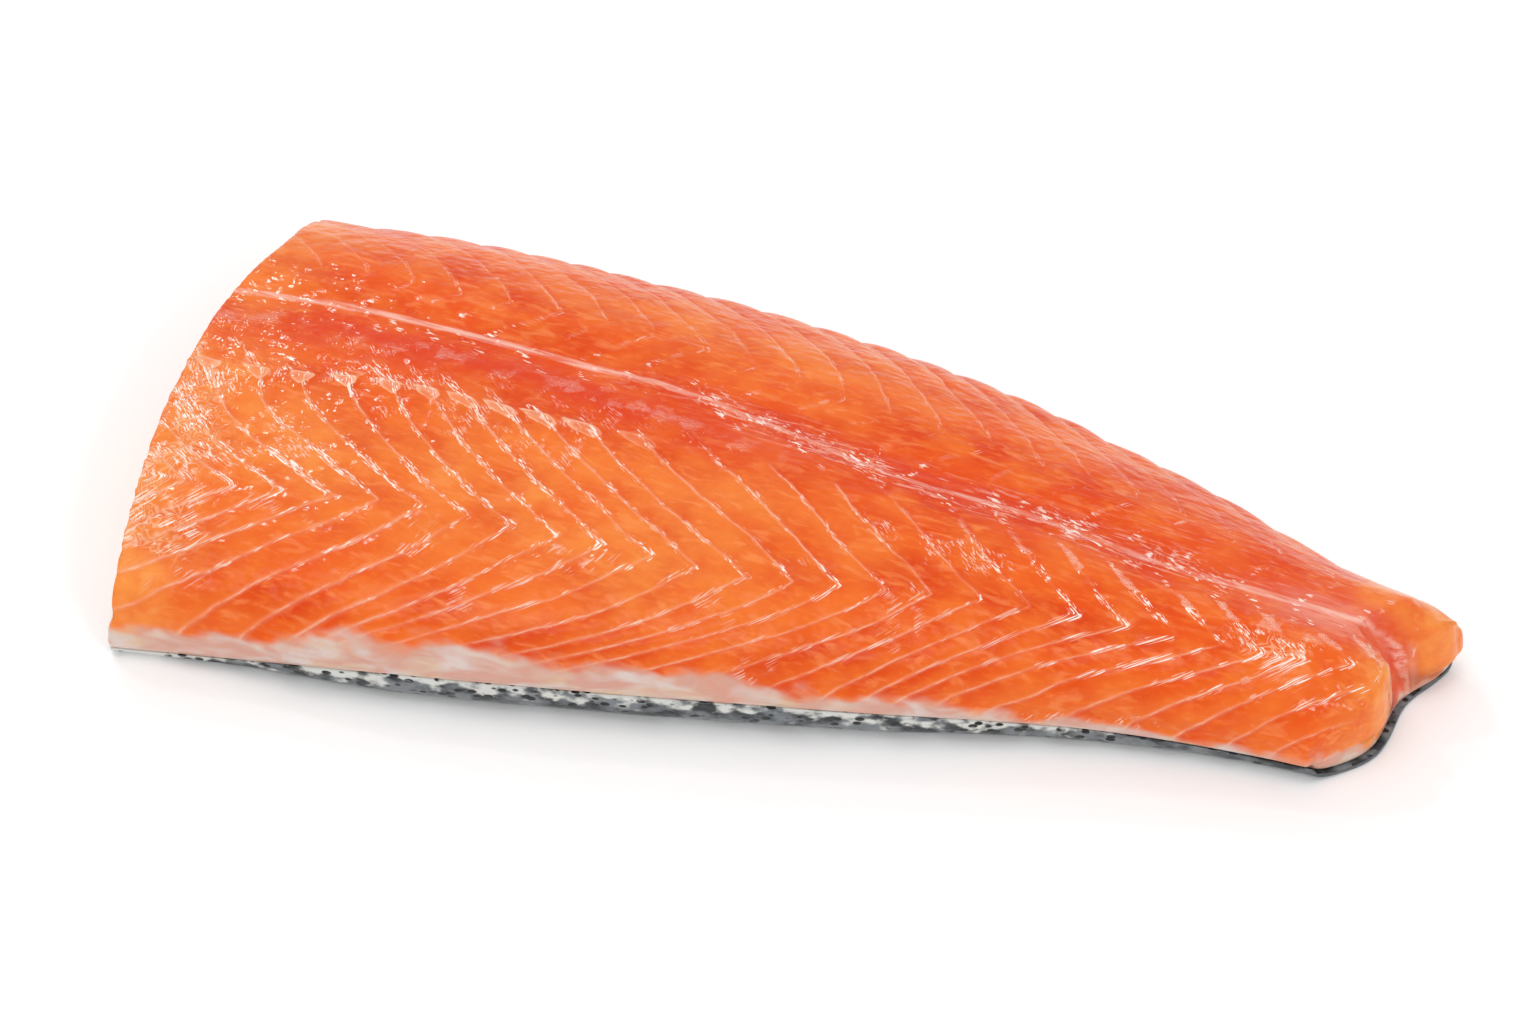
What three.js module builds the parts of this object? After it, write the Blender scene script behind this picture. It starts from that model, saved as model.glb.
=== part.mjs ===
// A raw salmon fillet: the tail piece of one side of the fish, skin side down.
// Millimetres, +Z up. +X runs towards the tail, -Y is the belly edge, +Y the back edge.
// Two solids: the flesh, and the skin that runs under it and shows along its edges.
import * as THREE from "three";
import { mergeVertices } from "three/addons/utils/BufferGeometryUtils.js";

// Along the fish, from the head-side cut to the tail cut.
const LENGTH = 275;
// Shape of the side, at stations along it. Y is measured from the straight line through the tail.
//  along, belly edge, seam of the backbone, back edge, thickness, flank height, height of the skin's rim
const STATIONS = [
  [0, -88.5, 5, 48, 25, 10, 1.8],
  [40, -78.5, 9.3, 54.5, 26, 11, 2.6],
  [75, -74, 10.4, 57, 26.5, 12.5, 7.4],
  [120, -62.5, 9, 57.5, 26.5, 13, 8.4],
  [170, -47, 4.2, 52, 25.5, 12.5, 8],
  [215, -30.5, 3, 39.5, 24, 11.5, 5.4],
  [250, -23.5, 4.2, 26.5, 22.5, 10.5, 4.2],
  [275, -22, 5, 20.5, 21, 10, 4],
];
const BACK_RIM = 3.4; // the back edge is trimmed thin
const BACK_FLANK = 8.5;

// Roundness of the flesh side: 2 is an ellipse, more is squarer.
const BELLY_FULLNESS = 2.5;
const BACK_FULLNESS = 1.7;
const BACK_HUMP = 1.6; // the loin stands over the seam
const SEAM_DIP = 1.3; // furrow left by the backbone
const SEAM_HALF_WIDTH = 6;

// The head-side cut is oblique: its belly corner lies further back than its back corner.
const HEAD_CUT_RUN = 25;
const HEAD_CUT_BOW = 2.2;
const HEAD_CORNER_RUN = 6.4; // towards the back the cut swings round the other way
const HEAD_CORNER_WIDTH = 40;
const HEAD_CORNER_BOW = 0.55;
const HEAD_CUT_LEAN = 3; // the knife leans, so the flesh side is cut a little shorter

// The tail cut: a lobe of muscle on each side of the seam, with a cleft between them.
const TAIL_CUT_RUN = 13; // the tail cut is oblique too, its back corner further back
const TAIL_BELLY_BEVEL = 6; // and its belly corner is cut away over this length
const TAIL_BELLY_BEVEL_WIDTH = 12;
const TAIL_BACK_BEVEL = 1.2; // as is its back corner
const TAIL_BACK_BEVEL_WIDTH = 9;
const BEVEL_BOW = 1.6; // 1 is a straight bevel, more is a rounder one
const TAIL_NOTCH_DEPTH = 3.4; // the cut dips in at the cleft, skin and all
const TAIL_NOTCH_HALF_WIDTH = 9;
const TAIL_CLEFT_DEPTH = 3;
const TAIL_CLEFT_HALF_WIDTH = 3;
const TAIL_CLEFT_Y = 5;
const CLEFT_FOOT = 0.1; // share of the thickness where the cleft starts
const CLEFT_HEAD = 0.5; // and where it is fully deep
const TAIL_ROUND = 9; // how far in front of the cut the flesh side starts to fall
const TAIL_DROP = 0.22; // share of the thickness lost by that fall
const TAIL_LEAN = 3; // the skin reaches further back than the flesh side
const TAIL_BACK_START = 256; // from here the back half keeps its height nearer to its edge
const TAIL_BACK_END = 274;
const TAIL_BACK_FLANK = 11.8;
const TAIL_BACK_FULLNESS = 2;
// How fast each cut's lean fades away from it: the power of the share of the length.
const HEAD_LEAN_FADE = 12;
const TAIL_LEAN_FADE = 24;

const SKIN_THICKNESS = 1.2;
const SKIN_GAP = 0.35;
const SKIN_OVERHANG = 1.4; // the skin is cut a little longer than the flesh at the tail's belly side
const OVERHANG_END = 14; // y where that ends
const OVERHANG_SHARE = 0.97; // share of the length where it starts
const EDGE_CURL = 8; // width over which the skin turns up at an edge
const EDGE_CURL_LIMIT = 0.3; // and the most of the fillet's width that it may take
const CURL_SQUARENESS = 3; // 2 is a quarter circle, more is a tighter corner with an upright wall

// Mesh density.
const ALONG = 38;
const ACROSS = 20;
const UP = 4;
const CURL_SHARE = 0.2; // share of the steps across that each turned-up edge takes
const BUNCHING = 0.75; // how far the flesh side's steps crowd towards its edges: 0 is evenly spaced
const SETTLE_PASSES = 8;
const GRID = 1e5; // box corners are rounded to this fraction of the box

const { lerp, smoothstep, clamp } = THREE.MathUtils;

const stationCurve = new THREE.CubicInterpolant(
  STATIONS.map((row) => row[0]),
  STATIONS.flatMap((row) => row.slice(1)),
  STATIONS[0].length - 1,
);

// The side's section at a place along the fish.
function sectionAt(along) {
  const [belly, seam, back, thickness, flank, rim] = stationCurve.evaluate(
    clamp(along, 0, LENGTH),
  );
  return { belly, seam, back, thickness, flank, rim };
}

// Rises from 0 at the edge to 1 in the middle, upright at the edge and level in the middle.
function crown(share, fullness) {
  const inward = clamp(share, 0, 1);
  return (1 - (1 - inward) ** fullness) ** (1 / fullness);
}

function bell(distance, halfWidth) {
  return Math.exp(-((distance / halfWidth) ** 2));
}

// Where the head-side cut meets a line at y, on the skin side.
function headCut(y) {
  const { belly, back } = sectionAt(0);
  const oblique = clamp((back - y) / (back - belly), 0, 1);
  const intoCorner = clamp(1 - (back - y) / HEAD_CORNER_WIDTH, 0, 1);
  return HEAD_CUT_RUN * oblique ** HEAD_CUT_BOW + HEAD_CORNER_RUN * intoCorner ** HEAD_CORNER_BOW;
}

// Where the tail cut meets a line at y, on the skin side.
function tailCut(y) {
  const { belly, back } = sectionAt(LENGTH);
  const oblique = clamp((back - y) / (back - belly), 0, 1);
  const intoBelly = clamp(1 - (y - belly) / TAIL_BELLY_BEVEL_WIDTH, 0, 1);
  const intoBack = clamp(1 - (back - y) / TAIL_BACK_BEVEL_WIDTH, 0, 1);
  const bevel = TAIL_BELLY_BEVEL * intoBelly ** BEVEL_BOW + TAIL_BACK_BEVEL * intoBack ** BEVEL_BOW;
  const notch = TAIL_NOTCH_DEPTH * bell(y - TAIL_CLEFT_Y, TAIL_NOTCH_HALF_WIDTH);
  return LENGTH - TAIL_CUT_RUN * oblique - bevel - notch;
}

// Height of the flesh side over the skin's lowest face, at a place on the fish.
function fleshSide(along, y) {
  const { belly, seam, back, thickness, flank } = sectionAt(along);
  const fromTail = tailCut(y) - along;
  let z;
  if (y < seam) {
    z = lerp(flank, thickness, crown((y - belly) / (seam - belly), BELLY_FULLNESS));
  } else {
    const share = (y - seam) / (back - seam);
    const atTail = smoothstep(along, TAIL_BACK_START, TAIL_BACK_END);
    const fullness = lerp(BACK_FULLNESS, TAIL_BACK_FULLNESS, atTail);
    z = lerp(lerp(BACK_FLANK, TAIL_BACK_FLANK, atTail), thickness, crown(1 - share, fullness));
    z += BACK_HUMP * Math.sin(Math.PI * clamp(share, 0, 1)) * (1 - share);
  }
  z -= SEAM_DIP * bell(y - seam, SEAM_HALF_WIDTH);
  const nearCut = 1 - crown(fromTail / TAIL_ROUND, 2);
  z *= 1 - TAIL_DROP * nearCut;
  z -= TAIL_CLEFT_DEPTH * nearCut * bell(y - TAIL_CLEFT_Y, TAIL_CLEFT_HALF_WIDTH);
  return z;
}

// Steps across the fillet, from 0 at the belly edge to 1 at the back edge. An edge's steps follow
// its quarter turn, given as an angle: 90 degrees at the rim, 0 where the skin lies flat.
function acrossStep(v) {
  const side = v < 0.5 ? -1 : 1;
  const inward = Math.min(v, 1 - v) / CURL_SHARE;
  const turn = inward < 1 ? (Math.PI / 2) * (1 - inward) : 0;
  const flat = clamp((v - CURL_SHARE) / (1 - 2 * CURL_SHARE), 0, 1);
  return { side, turn, flat };
}

// A point of the skin side's turned-up trough, drawn in by depth from its outer face.
function skinPoint(along, v, depth) {
  const { belly, back, rim } = sectionAt(along);
  const { side, turn, flat } = acrossStep(v);
  const rise = side < 0 ? rim : Math.min(rim, BACK_RIM);
  const edge = side < 0 ? belly : back;
  const curl = Math.min(EDGE_CURL, EDGE_CURL_LIMIT * (back - belly));
  const squared = 2 / CURL_SQUARENESS;
  const y =
    turn > 0
      ? edge - side * (curl - (curl - depth) * Math.sin(turn) ** squared)
      : lerp(belly + curl, back - curl, flat);
  const z = depth + (rise - depth) * (1 - Math.max(0, Math.cos(turn)) ** squared);
  return { y, z };
}

// Sets along and y so that the point lies on the fillet's outline and between its two oblique cuts.
function settle(u, yAt) {
  let along = u * LENGTH;
  let y = 0;
  for (let pass = 0; pass < SETTLE_PASSES; pass++) {
    y = yAt(along);
    along = lerp(headCut(y), tailCut(y), u);
  }
  return { along, y };
}

function fleshPoint(u, v, w) {
  const depth = SKIN_THICKNESS + SKIN_GAP;
  const { side } = acrossStep(v);
  const atEdge = v === 0 || v === 1;
  // Underside: the inner face of the skin, a gap away.
  const under = (along) => skinPoint(along, v, depth);
  // Flesh side: the steps bunch up towards both edges, where it turns down.
  const spread = 0.5 - 0.5 * Math.cos(Math.PI * v);
  const across = lerp(v, spread, BUNCHING);
  const topY = (along) => {
    const { belly, back } = sectionAt(along);
    return lerp(belly, back, across);
  };
  if (w === 0) {
    const { along, y } = settle(u, (a) => under(a).y);
    return [along, y, under(along).z];
  }
  const top = settle(u, topY);
  const topZ = fleshSide(top.along, top.y);
  const low = settle(u, (a) => (atEdge ? topY(a) : under(a).y));
  const { rim } = sectionAt(low.along);
  const rise = side < 0 ? rim : Math.min(rim, BACK_RIM);
  // At an edge the flesh steps out over the skin's rim; elsewhere it starts from the underside.
  const lowZ = atEdge ? rise + SKIN_GAP : under(low.along).z;
  const share = atEdge ? (w - 1 / UP) / (1 - 1 / UP) : w;
  const along = lerp(low.along, top.along, share);
  return [along, lerp(low.y, top.y, share), lerp(lowZ, topZ, share)];
}

// A skin point: w runs from 0 on the outside to 1 on the inside.
function skinShellPoint(u, v, w) {
  const depth = w * SKIN_THICKNESS;
  const { along, y } = settle(u, (a) => skinPoint(a, v, depth).y);
  const bellySide = smoothstep(OVERHANG_END - y, 0, OVERHANG_END);
  const overhang = SKIN_OVERHANG * bellySide * smoothstep(u, OVERHANG_SHARE, 1);
  return [along + overhang, y, skinPoint(along, v, depth).z];
}

// The cut faces lean and swell: the flesh side is cut shorter than the skin side.
function leanCuts([along, y, z], u) {
  const { thickness } = sectionAt(along);
  const height = clamp(z / thickness, 0, 1);
  const head = HEAD_CUT_LEAN * height * (1 - u) ** HEAD_LEAN_FADE;
  const cleft = TAIL_CLEFT_DEPTH * bell(y - TAIL_CLEFT_Y, TAIL_CLEFT_HALF_WIDTH);
  const cleftRise = smoothstep(height, CLEFT_FOOT, CLEFT_HEAD);
  const tail = (TAIL_LEAN * height ** 2 + cleft * cleftRise) * u ** TAIL_LEAN_FADE;
  return [along + head - tail, y, z];
}

// Splits every four-sided face along its shorter diagonal.
function splitShorter(geometry) {
  const position = geometry.getAttribute("position");
  const index = geometry.getIndex();
  const corner = (i) => new THREE.Vector3().fromBufferAttribute(position, i);
  for (let i = 0; i < index.count; i += 6) {
    const [a, b, d, c] = [0, 1, 2, 4].map((k) => index.getX(i + k));
    if (corner(a).distanceTo(corner(c)) < corner(b).distanceTo(corner(d))) {
      [a, b, c, a, c, d].forEach((vertex, k) => index.setX(i + k, vertex));
    }
  }
}

// A closed solid: a box with many small faces, each corner moved to where point(u, v, w) puts it.
function shapedBox(across, up, point) {
  const box = new THREE.BoxGeometry(1, 1, 1, ALONG, across, up);
  box.deleteAttribute("normal");
  box.deleteAttribute("uv");
  const geometry = mergeVertices(box);
  const position = geometry.getAttribute("position");
  for (let i = 0; i < position.count; i++) {
    const [u, v, w] = [position.getX(i), position.getY(i), position.getZ(i)].map((c) => {
      return Math.round((c + 0.5) * GRID) / GRID;
    });
    position.setXYZ(i, ...point(u, v, w));
  }
  splitShorter(geometry);
  geometry.computeVertexNormals();
  return geometry;
}

function fleshMesh() {
  const geometry = shapedBox(ACROSS, UP, (u, v, w) => leanCuts(fleshPoint(u, v, w), u));
  const material = new THREE.MeshStandardMaterial({ color: 0xed7340, roughness: 0.32, metalness: 0 });
  const mesh = new THREE.Mesh(geometry, material);
  mesh.name = "flesh";
  return mesh;
}

function skinMesh() {
  const geometry = shapedBox(ACROSS, 1, skinShellPoint);
  const material = new THREE.MeshStandardMaterial({ color: 0x555a60, roughness: 0.3, metalness: 0 });
  const mesh = new THREE.Mesh(geometry, material);
  mesh.name = "skin";
  return mesh;
}

// Both solids, moved so that the frame's origin is under the middle of the fillet.
const fillet = new THREE.Group();
fillet.add(fleshMesh(), skinMesh());
const bounds = new THREE.Box3().setFromObject(fillet);
const middle = bounds.getCenter(new THREE.Vector3());
fillet.children.forEach((mesh) => mesh.position.set(-middle.x, -middle.y, -bounds.min.z));

export default fillet;
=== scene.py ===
"""A raw salmon fillet, the tail piece of one side of the fish, lying skin side down.

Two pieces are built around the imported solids: the flesh, with its flakes, backbone seam, rib
flaps and belly fat, and the scaled skin under it. Lengths named in millimetres are turned to
metres where the meshes are written.
"""

from __future__ import annotations

import logging
import math
from dataclasses import dataclass
from enum import Enum
from typing import Any

import bmesh
import bpy
import numpy as np
from bpy.types import Material, NodeSocket, Object
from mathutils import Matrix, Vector


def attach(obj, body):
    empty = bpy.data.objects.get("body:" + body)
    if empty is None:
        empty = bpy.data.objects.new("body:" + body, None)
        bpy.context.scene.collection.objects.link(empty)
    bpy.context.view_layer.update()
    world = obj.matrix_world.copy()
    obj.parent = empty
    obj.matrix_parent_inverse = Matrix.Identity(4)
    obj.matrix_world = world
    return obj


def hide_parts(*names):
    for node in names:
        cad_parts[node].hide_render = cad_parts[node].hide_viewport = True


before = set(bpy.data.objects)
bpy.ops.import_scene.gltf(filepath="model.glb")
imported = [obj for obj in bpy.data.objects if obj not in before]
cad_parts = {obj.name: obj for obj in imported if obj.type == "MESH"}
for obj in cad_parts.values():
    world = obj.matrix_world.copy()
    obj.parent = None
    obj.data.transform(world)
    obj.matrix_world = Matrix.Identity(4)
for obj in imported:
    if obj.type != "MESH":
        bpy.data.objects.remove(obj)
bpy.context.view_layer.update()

LOG = logging.getLogger("salmon_fillet")
MM = 0.001
WHITE = (1.0, 1.0, 1.0, 1.0)
Array = np.ndarray

# Settings that many nodes share.
EASED = {"interpolation_type": "SMOOTHSTEP"}
RGBA = {"data_type": "RGBA"}
PLUS = {"operation": "ADD"}
MINUS = {"operation": "SUBTRACT"}
TIMES = {"operation": "MULTIPLY"}
TIMES_PLUS = {"operation": "MULTIPLY_ADD"}


def linear(hex_colour: str) -> tuple[float, float, float, float]:
    """Turns an sRGB colour to linear light.

    Args:
        hex_colour: Six hexadecimal digits, red first.

    Returns:
        Red, green, blue and an opaque alpha.
    """
    channels = [int(hex_colour[i : i + 2], 16) / 255 for i in (0, 2, 4)]
    lit = [c / 12.92 if c <= 0.04045 else ((c + 0.055) / 1.055) ** 2.4 for c in channels]
    return (*lit, 1.0)


class NodeBench:
    """One material while its nodes are laid out."""

    def __init__(self, name: str) -> None:
        """Starts an empty material.

        Args:
            name: The material's name.
        """
        self.material = bpy.data.materials.new(name)
        self.material.use_nodes = True
        self.tree = self.material.node_tree
        self.tree.nodes.clear()

    def add(self, kind: str, *inputs: Any, out: str = "", **settings: Any) -> NodeSocket | None:
        """Adds one node with its settings and links.

        Args:
            kind: Blender's name for the node type, without its leading ShaderNode.
            *inputs: For the node's inputs in order, a socket to join, a constant or a hex colour.
            out: Name of the output wanted, or nothing for the first.
            **settings: Properties of the node, and more inputs by name with _ for each space.

        Returns:
            The output socket, or nothing where the node has none.
        """
        node = self.tree.nodes.new("ShaderNode" + kind)
        for name in [name for name in settings if hasattr(node, name)]:
            setattr(node, name, settings.pop(name))
        sockets = [socket for socket in node.inputs if socket.enabled]
        given = list(zip(sockets, inputs))
        for name, value in settings.items():
            given.append((next(s for s in sockets if s.name == name.replace("_", " ")), value))
        for socket, value in given:
            if isinstance(value, NodeSocket):
                self.tree.links.new(value, socket)
            else:
                socket.default_value = linear(value) if isinstance(value, str) else value
        results = [socket for socket in node.outputs if socket.enabled]
        return next((socket for socket in results if socket.name == out), results[0] if results else None)

    def field(self, name: str) -> list[NodeSocket]:
        """Reads three numbers that the piece keeps at every point."""
        vector = self.add("Attribute", attribute_name=name, out="Vector")
        return [self.add("SeparateXYZ", vector, out=axis) for axis in "XYZ"]


def smoothstep(value: Array, low: float, high: float) -> Array:
    """Eases from 0 at low to 1 at high.

    Args:
        value: Numbers to ease.
        low: Where the result starts to rise.
        high: Where it is complete; may be below low, and then it falls.

    Returns:
        Numbers from 0 to 1.
    """
    share = np.clip((value - low) / (high - low), 0, 1)
    return share * share * (3 - 2 * share)


def bell(distance: Array, half_width: float) -> Array:
    """Falls from 1 at distance 0 along a bell curve."""
    return np.exp(-((distance / half_width) ** 2))


def curve(knots: tuple[float, ...], values: tuple[float, ...], at: Array) -> Array:
    """Reads a smooth curve through a table.

    Args:
        knots: Rising places along the table.
        values: The curve's value at each of them.
        at: Places to read it at; past the ends it stays level.

    Returns:
        The curve's value at each place.
    """
    xs = np.asarray(knots, float)
    ys = np.asarray(values, float)
    at = np.clip(at, xs[0], xs[-1])
    slopes = np.gradient(ys, xs)
    cell = np.clip(np.searchsorted(xs, at) - 1, 0, len(xs) - 2)
    width = xs[cell + 1] - xs[cell]
    t = (at - xs[cell]) / width
    rise = t * t * (3 - 2 * t)
    lift = t * (1 - t) ** 2 * slopes[cell] - t * t * (1 - t) * slopes[cell + 1]
    return ys[cell] + rise * (ys[cell + 1] - ys[cell]) + lift * width


@dataclass(frozen=True)
class Unevenness:
    """Smooth random ups and downs that fill space, the same on every run."""

    seed: int
    cells: int = 32

    def at(self, places: Array, size_mm: float | tuple[float, ...]) -> Array:
        """Reads the unevenness.

        Args:
            places: Points in millimetres, one to a row.
            size_mm: Length of one up or down, or its length along each axis.

        Returns:
            Numbers from -1 to 1, one for each point.
        """
        lattice = np.random.default_rng(self.seed).uniform(-1, 1, (self.cells,) * 3)
        scaled = places / np.asarray(size_mm, float)
        corner = np.floor(scaled).astype(int)
        inside = scaled - corner
        ease = inside * inside * (3 - 2 * inside)
        total = np.zeros(len(places))
        for step in np.ndindex(2, 2, 2):
            weight = np.prod(np.where(np.array(step) == 1, ease, 1 - ease), axis=1)
            i, j, k = ((corner + step) % self.cells).T
            total += weight * lattice[i, j, k]
        return total


@dataclass(frozen=True)
class Anatomy:
    """Where the parts of the muscle lie on this piece, in millimetres.

    Along runs from the head-side cut to the tail, across from the fish's midline through the
    tail: the belly is negative, the back positive.
    """

    origin_along: float = -138.06
    origin_across: float = 12.33
    stations: tuple[float, ...] = (0, 40, 75, 120, 170, 215, 250, 275)
    belly_edge: tuple[float, ...] = (-88.5, -78.5, -74, -62.5, -47, -30.5, -23.5, -22)
    back_edge: tuple[float, ...] = (48, 54.5, 57, 57.5, 52, 39.5, 26.5, 20.5)
    rim_height: tuple[float, ...] = (1.8, 2.6, 7.4, 8.4, 8, 5.4, 4.2, 4)
    thickness: tuple[float, ...] = (25, 26, 26.5, 26.5, 25.5, 24, 22.5, 21)
    seam_knots: tuple[float, ...] = (0, 27, 55, 80, 106, 131, 150, 190, 215, 245, 256, 266)
    seam_across: tuple[float, ...] = (4.6, 8.4, 10, 10.4, 10.6, 7.8, 4.8, 4, 3, 4, 4.8, 7)
    # The septa between flakes, each told by where its point towards the tail lies.
    point_knots: tuple[float, ...] = (20, 55, 74, 93, 117, 139, 163, 195, 231, 248, 262)
    point_across: tuple[float, ...] = (-55, -47, -42.5, -41, -38.5, -37, -30, -21.5, -15.5, -13, -8)
    flap_across: tuple[float, ...] = (-21, -18.5, -15.8, -11.6, -9.5, -8, -5.2, -4, -3.4, -3, -2)
    upper_run: tuple[float, ...] = (40, 41, 41, 41, 45, 46, 37, 22, 15, 12, 9)
    upper_bow: tuple[float, ...] = (1.8, 1.8, 1.7, 1.4, 1.05, 1.05, 1.05, 1.05, 1.1, 1.1, 1.1)
    lower_slope: tuple[float, ...] = (0.95, 0.85, 0.7, 0.64, 0.76, 0.78, 0.82, 0.82, 1.15, 1.05, 0.9)
    lower_sweep: tuple[float, ...] = (0.3, 0.3, 0.1, 0.2, 0.45, 0.55, 0.5, 0.05, -0.1, 0, 0)
    loin_point: tuple[float, ...] = (12, 12, 14, 15, 14, 15, 16, 15, 12, 9, 7)
    loin_slope: tuple[float, ...] = (1.1, 1.05, 1.0, 0.98, 0.98, 0.92, 0.85, 0.8, 0.8, 0.8, 0.8)
    # Vertebrae are a little shorter towards the tail, and the flakes with them.
    count_knots: tuple[float, ...] = (-60, 0, 60, 130, 180, 230, 262, 300)
    count_spacing: tuple[float, ...] = (9.6, 9.6, 9.7, 9.4, 9.2, 9.2, 8, 7)
    loin_spacing: float = 11.0
    loin_start: float = 52.5
    # Below its point a belly septum curves, and meets its straight slope at sweep_middle.
    sweep_middle: float = 20.0
    sweep_reach: float = 40.0
    # Round its point a loin septum is rounded, and on the seam's side it turns back.
    hook_depth: float = 3.0
    hook_reach: float = 6.0
    hook_return: float = 0.9
    # Septa lean towards the head as they go down to the skin.
    septum_lean: float = 0.8
    flank_share: float = 0.8
    # Towards the belly the head-side cut lies further along, on a bow.
    cut_run: float = 24.0
    cut_bow: float = 2.2
    flap_row_knots: tuple[float, ...] = (14, 33, 42, 52, 72, 94, 125, 215, 260)
    flap_row_across: tuple[float, ...] = (-18.8, -15.8, -13.4, -11.8, -9.6, -8.1, -5.2, -3.6, -2)
    fat_knots: tuple[float, ...] = (0, 45, 55, 72, 92, 120, 145, 165, 185, 200, 216, 232, 262)
    fat_top: tuple[float, ...] = (9.5, 9.6, 11.5, 15.6, 16.4, 15, 14.4, 12.4, 11.6, 8.8, 8.2, 6.6, 5)

    def along_across(self, points: Array) -> tuple[Array, Array]:
        """Places of points on the fish.

        Args:
            points: Points in the part's own frame, in millimetres.

        Returns:
            How far along and how far across each one lies.
        """
        return points[:, 0] - self.origin_along, points[:, 1] - self.origin_across

    def seam(self, along: Array) -> Array:
        """Where the backbone seam lies across the piece."""
        return curve(self.seam_knots, self.seam_across, along)

    def flap_row(self, along: Array) -> Array:
        """Where the row of rib flaps lies across the piece."""
        return curve(self.flap_row_knots, self.flap_row_across, along)

    def head_cut(self, across: Array) -> Array:
        """How far along the head-side cut lies at places across the piece."""
        share = (self.back_edge[0] - across) / (self.back_edge[0] - self.belly_edge[0])
        return self.cut_run * np.clip(share, 0, 1) ** self.cut_bow

    def count(self, point_along: Array) -> Array:
        """Counts the belly septa up to a place along the piece.

        Args:
            point_along: Places where septa have their points.

        Returns:
            How many septa lie before each place, with the fraction of the next one.
        """
        step = 0.5
        fine = np.arange(self.count_knots[0], self.count_knots[-1], step)
        spacing = np.interp(fine, self.count_knots, self.count_spacing)
        total = np.concatenate(([0.0], np.cumsum(step / spacing)[:-1]))
        return np.interp(point_along, fine, total)

    def belly_run(self, across: Array, towards: Array) -> Array:
        """How far towards the head a belly septum lies, against its own point.

        Args:
            across: Places across, unrolled round the flank.
            towards: Where along the piece the septum's point lies.

        Returns:
            Lengths in millimetres.
        """
        point_across = curve(self.point_knots, self.point_across, towards)
        flap_across = curve(self.point_knots, self.flap_across, towards)
        bow = curve(self.point_knots, self.upper_bow, towards)
        share = np.clip((across - point_across) / (flap_across - point_across), 0, 1.6)
        upper = np.where(share < 1, 1 - np.abs(1 - share) ** bow, share)
        upper = upper * curve(self.point_knots, self.upper_run, towards)
        below = np.clip(point_across - across, 0, 60)
        sweep = curve(self.point_knots, self.lower_sweep, towards)
        lower = curve(self.point_knots, self.lower_slope, towards) * below
        lower = lower * (1 + sweep * (below - self.sweep_middle) / self.sweep_reach)
        return np.where(across > point_across, upper, lower)

    def loin_run(self, from_seam: Array, towards: Array) -> Array:
        """The same as belly_run for a septum of the back half.

        Args:
            from_seam: Distance from the backbone seam.
            towards: Where along the piece the septum's point lies.

        Returns:
            Lengths in millimetres.
        """
        outer = from_seam - curve(self.point_knots, self.loin_point, towards)
        slope = curve(self.point_knots, self.loin_slope, towards)
        hook = self.hook_depth * (1 - np.exp(-np.clip(outer, 0, None) / self.hook_reach))
        return np.where(outer > 0, slope * (outer - hook), -self.hook_return * outer)

    def flake(self, along: Array, across: Array, depth: Array) -> Array:
        """Numbers the flakes: each septum lies where the number is whole.

        Args:
            along: Places along the piece.
            across: Places across it, unrolled round the flank.
            depth: How far under the flesh side a cut shows them.

        Returns:
            The flake number, growing towards the tail.
        """
        at = along + self.septum_lean * depth
        from_seam = across - self.seam(along)
        towards = at.copy()
        # Each round brings the septum's point nearer to where its line passes the place.
        for _ in range(24):
            loin = self.loin_run(from_seam, towards)
            run = np.where(from_seam > 0, loin, self.belly_run(across, towards))
            towards = 0.5 * towards + 0.5 * (at + run)
        return np.where(from_seam > 0, (towards - self.loin_start) / self.loin_spacing, self.count(towards))


# Loose triangles are welded and joined to four-sided faces; sharper edges keep a crease.
WELD = 1e-6
QUAD_BEND = math.radians(50)
QUAD_SKEW = math.radians(80)
EDGE_BEND = math.radians(38)


class Margin(Enum):
    """How firmly the smoothing keeps an edge of a solid."""

    SOFT = 0.55
    CRISP = 0.9


def refined_copy(node_name: str, piece_name: str, margin: Margin, levels: int) -> Object:
    """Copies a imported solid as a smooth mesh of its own.

    Args:
        node_name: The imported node.
        piece_name: The new piece's name.
        margin: How firmly its cut edges are kept.
        levels: Rounds of subdivision.

    Returns:
        The new object, in place.
    """
    mesh = bmesh.new()
    mesh.from_mesh(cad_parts[node_name].data)
    bmesh.ops.remove_doubles(mesh, verts=mesh.verts, dist=WELD)
    bmesh.ops.join_triangles(
        mesh, faces=mesh.faces, angle_face_threshold=QUAD_BEND, angle_shape_threshold=QUAD_SKEW
    )
    crease = mesh.edges.layers.float.new("crease_edge")
    for edge in mesh.edges:
        if edge.is_manifold and edge.calc_face_angle(0) > EDGE_BEND:
            edge[crease] = margin.value
    coarse = bpy.data.meshes.new(piece_name + "_coarse")
    mesh.to_mesh(coarse)
    mesh.free()
    rough = bpy.data.objects.new(piece_name + "_coarse", coarse)
    bpy.context.scene.collection.objects.link(rough)
    rounding = rough.modifiers.new("rounding", "SUBSURF")
    rounding.levels = levels
    rounding.render_levels = levels
    seen = rough.evaluated_get(bpy.context.evaluated_depsgraph_get())
    smooth = bpy.data.meshes.new_from_object(seen)
    smooth.name = piece_name
    bpy.data.objects.remove(rough)
    bpy.data.meshes.remove(coarse)
    piece = bpy.data.objects.new(piece_name, smooth)
    bpy.context.scene.collection.objects.link(piece)
    return piece


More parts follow.
